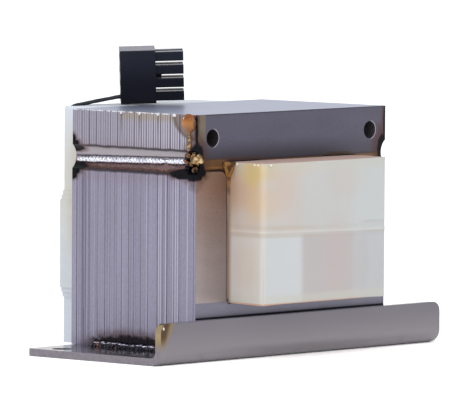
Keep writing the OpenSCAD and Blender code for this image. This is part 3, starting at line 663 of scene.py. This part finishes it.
FINISHES = {
    "plate": plate_finish(),
    "e_core": e_finish(),
    "i_core": bar_finish(),
    "bright_weld": bright_weld_finish(),
    "burnt_weld": burnt_weld_finish(),
    "spatter": spatter_finish(),
    "former": plain_finish("former board", rgb(206, 178, 168), 0.8, 0.6, 0.08),
    "wire": plain_finish("magnet wire", rgb(176, 106, 60), 0.35, 0.6, 0.2),
    "paper": paper_finish(),
    "tape": tape_finish(),
    "cover": cover_finish("cover sheet", False),
    "band": cover_finish("cover band", True),
    "lead": plain_finish("lead insulation", rgb(30, 33, 44), 0.4, 0.5, 0.15, Specular_IOR_Level=0.3),
    "nylon": nylon_finish(),
    "tin": plain_finish("terminal tin", rgb(200, 196, 180), 0.3, 0.5, 0.1, Metallic=0.9),
    "varnish": varnish_finish(),
    "old_varnish": old_varnish_finish(),
    # near-white: painted highlights on small drops of varnish
    "glint": plain_finish("painted glint", rgb(236, 232, 218), 0.1, 0.4, 0.05, Coat_Weight=0.5,
                          Coat_Roughness=0.05),
}

for node, finish in {
        "base_plate": "plate", "e_laminations": "e_core", "i_laminations": "i_core",
        "left_joint_weld": "bright_weld", "right_joint_weld": "bright_weld",
        "left_base_weld": "burnt_weld", "right_base_weld": "burnt_weld",
        "coil_former": "former", "primary_winding": "wire", "primary_margin_tape": "paper",
        "interwinding_paper": "paper", "secondary_winding": "wire", "secondary_margin_tape": "paper",
        "outer_paper": "paper", "coil_wrap_lower": "tape", "coil_wrap_upper": "tape",
        "rear_cover": "cover", "rear_cover_band": "band", "lead_splice_1": "lead", "lead_splice_2": "lead",
        "lead_1": "lead", "lead_2": "lead", "connector_housing": "nylon", "terminal_1": "tin",
        "terminal_2": "tin", "varnish_runs": "varnish"}.items():
    dress(node, FINISHES[finish])


# ---- leads ----

LEAD_WIDTH = 1.1
LEAD_BASE = Vector((0, back_y, wrap_high.z))  # the routes count from here, as they do in part.scad
LEAD_ROUTES = (
    ((-26.4, 11.8, 3.9), (-26.4, 11.8, 5.1), (-26.6, 12.3, 6.6), (-27, 13.3, 8), (-27.4, 14.3, 9.3),
     (-27.7, 15.1, 10.6), (-27.7, 15.4, 11.9), (-27.5, 15.4, 13), (-26.8, 15.2, 13.9), (-25.8, 14.9, 14.4),
     (-24.6, 14.6, 14.6), (-23.3, 14.4, 14.7), (-22, 14.1, 14.9), (-20.5, 13.6, 15.2), (-19, 12.9, 15.6),
     (-17.4, 12, 15.9), (-16, 11.1, 16.2), (-14.8, 10.2, 16.4), (-13.6, 9.3, 16.7), (-12.6, 8.4, 16.8),
     (-11.4, 7.2, 16.9), (-10.2, 6, 17), (-9, 4.8, 17.05)),
    ((-23.6, 12.2, 3.9), (-23.6, 12.2, 5), (-24, 12.8, 6.4), (-24.9, 13.8, 7.7), (-25.8, 14.8, 8.9),
     (-26.5, 15.6, 10.1), (-26.8, 16.2, 11.3), (-26.7, 16.6, 12.4), (-26.2, 16.7, 13.3), (-25.3, 16.5, 14),
     (-24.1, 16.2, 14.4), (-22.6, 15.9, 14.6), (-20.8, 15.4, 14.9), (-18.9, 14.9, 15.2),
     (-17.1, 14.4, 15.4), (-15.3, 13.8, 15.7), (-13.6, 13.2, 16), (-12.1, 12.6, 16.3),
     (-10.8, 11.9, 16.6), (-9.7, 11.2, 16.8), (-8.5, 10, 17.1), (-7.2, 8.7, 17.5), (-6.1, 7.65, 17.55)),
)


def add_lead(index, route):
    """A lead from its splice to its terminal: a round wire in place of the model's faceted one."""
    name, points = f"lead_wire_{index}", [(LEAD_BASE + Vector(point)) * MM for point in route]
    curve = bpy.data.curves.new(name, "CURVE")
    curve.dimensions, curve.bevel_depth, curve.bevel_resolution = "3D", LEAD_WIDTH / 2 * MM, 4
    curve.use_fill_caps = True
    spline = curve.splines.new("BEZIER")
    spline.bezier_points.add(len(points) - 1)
    for knot, point in zip(spline.bezier_points, points):
        knot.co = point
        knot.handle_left_type = knot.handle_right_type = "AUTO"
    curve.materials.append(FINISHES["lead"].material)
    wire = add_object(name, curve)
    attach(wire, "root")
    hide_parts(f"lead_{index}")


add_lead(1, LEAD_ROUTES[0])
add_lead(2, LEAD_ROUTES[1])


# ---- meshes ----

def fade(value, start, end):
    """Goes smoothly from 0 to 1 while value goes from start to end."""
    share = min(1.0, max(0.0, (value - start) / (end - start)))
    return share * share * (3 - 2 * share)


def hill(value, middle, reach):
    """1 at the middle, falling off to nothing beyond its reach."""
    return math.exp(-((value - middle) / reach) ** 2)


def wave(*place):
    """Smooth noise from about -1 to 1."""
    return noise.noise(Vector(place))


def placed(name, mesh, finish, stands_for=()):
    """Links a mesh, drawn in millimetres, as a piece of the part with outward faces."""
    skin = bmesh.new()
    skin.from_mesh(mesh)
    bmesh.ops.scale(skin, vec=(MM, MM, MM), verts=skin.verts)
    bmesh.ops.recalc_face_normals(skin, faces=skin.faces)
    for face in skin.faces:
        face.smooth = True
    skin.to_mesh(mesh)
    skin.free()
    mesh.materials.append(FINISHES[finish].material)
    piece = add_object(name, mesh)
    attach(piece, "root")
    if stands_for:
        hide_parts(*stands_for)


def lofted(name, rings, finish, stands_for=(), closed=False):
    """A skin over rings of points. It closes on itself, or has an end face at each end ring."""
    mesh = bpy.data.meshes.new(name)
    count, last = len(rings[0]), len(rings) - 1
    faces = []
    for ring in range(last + 1 if closed else last):
        low, high = ring * count, (ring + 1) % len(rings) * count
        faces += [(low + k, low + (k + 1) % count, high + (k + 1) % count, high + k) for k in range(count)]
    if not closed:
        faces += [tuple(range(count))[::-1], tuple(last * count + k for k in range(count))]
    mesh.from_pydata([point for ring in rings for point in ring], [], faces)
    placed(name, mesh, finish, stands_for)


# ---- coil wrap ----

TAPE = 0.35  # thickness of a band
WRAP_CORNER = 1.7  # radius of the corners in plan
WRAP_CROWN = 0.8  # how far the ends bulge
LAP_HALF = 1.5  # half of the overlap
LAP_STEP = 0.06  # how far the upper band stands out over the overlap
CORNER_STEPS, SIDE_STEPS, ROWS = 8, 24, 56


def coil_plan():
    """Plan of the wrapped coil: points, each with the direction that it faces."""
    half_x, half_y = wrap_high.x - TAPE, wrap_high.y - TAPE - WRAP_CROWN
    across, along = half_x - WRAP_CORNER, half_y - WRAP_CORNER
    corners = []
    for quarter in range(4):
        side_x = 1 if quarter in (0, 3) else -1
        side_y = 1 if quarter in (0, 1) else -1
        for step in range(CORNER_STEPS + 1):
            corners.append((side_x * across, side_y * along, 90 * (quarter + step / CORNER_STEPS)))
        for step in range(1, SIDE_STEPS):
            part = 1 - 2 * step / SIDE_STEPS
            part_x, part_y = (part, 1) if quarter in (0, 2) else (1, part)
            corners.append((side_x * across * part_x, side_y * along * part_y, 90 * (quarter + 1)))
    plan = []
    for x, y, angle in corners:
        out = Vector((math.cos(math.radians(angle)), math.sin(math.radians(angle)), 0))
        spot = Vector((x, y, 0)) + out * WRAP_CORNER
        crown = WRAP_CROWN * max(0.0, 1 - (spot.x / half_x) ** 2) * min(1.0, abs(out.y) * 1.5)
        plan.append((spot + Vector((0, math.copysign(crown, y), 0)), out))
    return plan


def tape_band(name, node, upper):
    """One band of tape round the coil: a thin wall with soft dents and slightly wavy edges. The upper
    band laps over the lower one, and both crease where they overlap."""
    plan, outer, inner = coil_plan(), [], []
    for row in range(ROWS + 1):
        # the second rings lie right at the edges, which keeps them crisp
        share = {1: 0.001, ROWS - 1: 0.999}.get(row, row / ROWS)
        ring_out, ring_in = [], []
        for spot, out in plan:
            free = fade(abs(spot.y), back_y, back_y + 4)  # 0 inside the core's windows
            lap = LAP_Z - LAP_FALL * spot.x
            low, high = (lap - LAP_HALF, wrap_high.z) if upper else (wrap_low.z, lap + LAP_HALF - 0.2)
            corner = hill(abs(spot.x), wrap_high.x, 5) * free
            sag = 0.12 * wave(spot.x / 8, spot.y / 8, low / 9) * free
            height = low + (high - low) * share + sag * abs(2 * share - 1) ** 3
            if not upper:
                height -= 0.22 * corner * (1 - share) ** 3
            dent = 0.10 * (wave(spot.x / 11, spot.y / 11, height / 14) + 0.4)
            hem = -0.12 * (hill(height, wrap_low.z, 0.35) + hill(height, wrap_high.z, 0.5))
            proud = dent + hem + 0.07 * free * hill(height, lap, 0.75)
            if upper:
                step = fade(height, lap + 1.6, lap + 0.4) * (0.6 + 0.4 * fade(height, low, low + 0.6))
                proud += LAP_STEP * step
            ring_out.append(spot + out * proud + Vector((0, 0, height)))
            over = upper and height < lap + 0.6
            ring_in.append(spot + out * (proud - TAPE * (0.3 if over else 0.9)) + Vector((0, 0, height)))
        outer.append(ring_out)
        inner.append(ring_in)
    lofted(name, outer + inner[::-1], "tape", (node,), closed=True)


tape_band("coil_tape_lower", "coil_wrap_lower", False)
tape_band("coil_tape_upper", "coil_wrap_upper", True)


# ---- welds and varnish ----

BEAD_STEP = 0.16  # from ring to ring of a bead
ROUND_SIDES = 28  # points in a ring
JOINT_STOPS = {"left": (-11.6,), "right": (8,)}  # where the joint welds were interrupted, along Y
BASE_STOPS = (1.2, -6.4)


def weld_bead(name, node, start, end, radius, out, gaps, finish):
    """A bead with slanted ripples that lies between two points and bulges outwards. gaps are the places
    along Y where the weld was interrupted."""
    start, end = Vector(start), Vector(end)
    length = (end - start).length
    along = (end - start).normalized()
    out = (out - along * out.dot(along)).normalized()
    up = along.cross(out)
    steps = int(length / BEAD_STEP)
    swell, slant = 0.16 * radius, 0.55 * radius
    thinned = 0.5 if radius == JOINT_BEAD_R else 0.3
    rings = []
    for step in range(steps + 1):
        share = step / steps
        centre = start.lerp(end, share)
        taper = max(0.02, math.sqrt(max(0.0, 1 - abs(2 * share - 1) ** 24)))
        for gap in gaps:
            taper *= 1 - thinned * hill(centre.y, gap, 1.0)
        ring = []
        for side in range(ROUND_SIDES):
            angle = 2 * math.pi * side / ROUND_SIDES
            phase = (share * length + slant * math.sin(angle)) / RIPPLE
            phase += 0.4 * wave(share * 25, 2.5, radius)
            ripple = abs(math.sin(math.pi * phase)) ** 0.7
            lump = 1 + 0.12 * wave(share * length / 3, math.cos(angle), math.sin(angle) + 9)
            reach = (radius * lump - swell * (1 - ripple)) * taper
            ring.append(centre + (out * math.cos(angle) + up * math.sin(angle)) * reach)
        rings.append(ring)
    lofted(name, rings, finish, (node,))


def lumps(name, balls, finish, dented=0.45):
    """A cluster of frozen drops. Each is a dented ball with a centre and a reach along each axis."""
    draw = random.Random(7)
    whole = bmesh.new()
    for centre, reach in balls:
        ball = bmesh.ops.create_icosphere(whole, subdivisions=4, radius=1.0)["verts"]
        shift = draw.uniform(0, 50)
        for vert in ball:
            dent = 1 + dented * wave(vert.co.x * 1.7 + shift, vert.co.y * 1.7, vert.co.z * 1.7)
            vert.co = Vector(centre) + Vector(side * size for side, size in zip(vert.co, reach)) * dent
    mesh = bpy.data.meshes.new(name)
    whole.to_mesh(mesh)
    whole.free()
    placed(name, mesh, finish)


def drip(name, y, top, length, width, bulge, stands_for=(), head=0.25, tail=0.24):
    """A run of varnish on the left side. Its round head is widest at the head share of its length, and its
    tail is the tail share as wide."""
    angles = [2 * math.pi * side / ROUND_SIDES for side in range(ROUND_SIDES)]
    rings, steps = [], 64
    for step in range(steps + 1):
        share = min(0.999, max(0.001, step / steps))
        if share < head:
            half = math.sqrt(1 - ((share - head) / head) ** 2)
        else:
            half = math.cos(math.pi / 2 * min(1.0, (share - head) / head / 1.15)) ** 0.8
            half = max(half, tail * (1 + 0.25 * wave(share * 9, 1.7, 0.3))) * math.sqrt(1 - share ** 24)
        rings.append([Vector((left_x + 0.1 - bulge * half ** 0.8 * math.cos(angle),
                              y + width / 2 * half * math.sin(angle), top - length * share))
                      for angle in angles])
    lofted(name, rings, "varnish", stands_for)


def fillet(name, side):
    """Varnish in the corner between a leg and the coil: a hollow strip that swells under the bar."""
    rings, steps, low, high = [], 60, yoke_top + 1.2, joint_z - 0.2
    for step in range(steps + 1):
        share = step / steps
        z = low + (high - low) * share
        swell = 0.14 + 0.04 * wave(z / 4, 3.1, side) + 0.2 * fade(z, 38, 52)
        swell += 1.7 * fade(z, joint_z - 8, joint_z - 1) ** 2
        leg_x, coil_x = side * (wrap_high.x + 0.25), side * (wrap_high.x - TAPE - 0.1)
        inner = Vector((coil_x, front_y + 0.2, z))
        on_leg = Vector((leg_x + side * swell * 1.3, front_y - 0.02, z))
        on_coil = Vector((coil_x, front_y - swell * 1.2, z))
        middle = (on_leg + on_coil) / 2 + Vector((-side * 0.28 * swell, 0.28 * swell, 0))
        rings.append([inner, on_leg, on_leg.lerp(middle, 0.5) + Vector((0, 0.06 * swell, 0)), middle,
                      on_coil.lerp(middle, 0.5) + Vector((-side * 0.06 * swell, 0, 0)), on_coil])
    lofted(name, rings, "old_varnish")


for side, hand in ((-1, "left"), (1, "right")):
    bead_x = side * (core_half - GROOVE_DEPTH)
    weld_bead(f"{hand}_joint_bead", f"{hand}_joint_weld",
              (bead_x, bead_high.y, bead_low.z + JOINT_BEAD_R),
              (bead_x, bead_low.y, bead_high.z - JOINT_BEAD_R),
              JOINT_BEAD_R, Vector((side, 0, 0)), JOINT_STOPS[hand], "bright_weld")
    weld_bead(f"{hand}_base_bead", f"{hand}_base_weld",
              (side * core_half, foot_high.y, plate_top), (side * core_half, foot_low.y, plate_top),
              BASE_BEAD_R, Vector((side, 0, 1)), BASE_STOPS, "burnt_weld")
lumps("weld_spatter", (
    ((left_x + 0.5, front_y + 0.3, joint_z + 0.9), (1.7, 1.7, 2.0)),
    ((left_x + 0.6, front_y + 3.4, joint_z + 1.9), (1.1, 1.3, 1.0)),
    ((left_x + 1.2, front_y + 4.6, joint_z + 0.3), (1.0, 1.2, 0.9)),
    ((left_x + 0.5, front_y + 2.4, joint_z - 0.6), (1.0, 0.9, 0.8)),
    ((left_x + 0.7, front_y + 4.0, joint_z - 1.7), (0.9, 0.9, 0.8)),
    ((left_x + 0.5, front_y + 0.9, joint_z - 2.0), (0.8, 1.0, 0.9)),
    ((left_x + 1.0, front_y + 1.6, joint_z + 2.6), (0.8, 0.8, 0.8)),
), "spatter")
drip("varnish_drop", front_y + 3.1, core_top + 0.35, length=11.4, width=5.9, bulge=1.15,
     stands_for=("varnish_runs",))
for index, (behind, width) in enumerate(((9.0, 1.4), (15.7, 0.8), (23.2, 0.8), (30.7, 0.7))):
    drip(f"varnish_bead_{index + 1}", front_y + behind, core_top + 0.1, length=1.4, width=width,
         bulge=0.35, head=0.42, tail=0.05)
# near-white drops on the coil's top edge and at the flange's corner: painted highlights
spots = [(Vector((wrap_low.x + 0.1 + over, wrap_low.y + back, wrap_high.z - 0.5)), (0.35, 0.5, 0.4))
         for over, back in ((0.0, 11.6), (0.0, 4.6), (0.0, 3.2), (2.4, 0.2))]
spots.append((Vector((plate_low.x + 1.2, plate_low.y + 0.1, plate_high.z - 1.5)), (0.4, 0.3, 0.5)))
lumps("painted_glint_spots", spots, "glint", dented=0.1)
for side, hand in ((-1, "left"), (1, "right")):
    fillet(f"{hand}_varnish_fillet", side)


# ---- floor, world and lamps ----

def seen_rays(tree):
    """1 for rays that come from the camera, and for what mirrors and glass show."""
    path = tree.nodes.new("ShaderNodeLightPath")
    total = path.outputs["Is Camera Ray"]
    for kind in ("Is Glossy Ray", "Is Transmission Ray"):
        most = tree.nodes.new("ShaderNodeMath")
        most.operation = "MAXIMUM"
        tree.links.new(total, most.inputs[0])
        tree.links.new(path.outputs[kind], most.inputs[1])
        total = most.outputs[0]
    return total


def add_floor():
    """A pale floor, which the camera and mirrors see as white, with the object's shadow."""
    mesh = bpy.data.meshes.new("floor")
    reach, lit, seen = 14.0, (0.85, 0.85, 0.85, 1), (1.7, 1.7, 1.7, 1)
    mesh.from_pydata([(-reach, -reach, 0), (reach, -reach, 0), (reach, reach, 0), (-reach, reach, 0)], [],
                     [(0, 1, 2, 3)])
    floor = add_object("floor", mesh)
    floor.location.z = (plate_low.z - 0.05) * MM
    f = Finish("floor", Roughness=0.9, Specular_IOR_Level=0.0)
    f.paint(f.mix(seen_rays(f.tree), lit, seen))
    mesh.materials.append(f.material)


def add_lamp(name, place, size, power):
    """A round soft lamp that faces the part. Its place and size are metres, its power is watts."""
    data = bpy.data.lights.new(name, "AREA")
    data.shape, data.size, data.energy = "DISK", size, power
    lamp = add_object(name, data)
    lamp.location = place
    lamp.rotation_euler = (Vector((0, 0, 0.04)) - Vector(place)).to_track_quat("-Z", "Y").to_euler()


def add_world():
    """White all round, at full strength where it is seen, and weaker where it lights the object."""
    lit, seen = 0.6, 1.0
    world = bpy.data.worlds.new("studio")
    bpy.context.scene.world = world
    world.use_nodes = True
    tree = world.node_tree
    level = tree.nodes.new("ShaderNodeMapRange")
    tree.links.new(seen_rays(tree), level.inputs["Value"])
    level.inputs["To Min"].default_value = lit
    level.inputs["To Max"].default_value = seen
    back = tree.nodes["Background"]
    tree.links.new(level.outputs[0], back.inputs["Strength"])
    back.inputs["Color"].default_value = (1, 1, 1, 1)


add_floor()
add_world()
add_lamp("key", (-1.6, -1.2, 1.6), 3.0, 33.0)
add_lamp("fill", (0.4, -2.2, 0.9), 1.4, 3.0)
add_lamp("left_spark", (-2.2, 0.7, 0.95), 0.3, 3.0)
add_lamp("back_spark", (-0.75, 2.2, 0.55), 0.3, 3.0)
bpy.context.scene.view_settings.view_transform = "Standard"
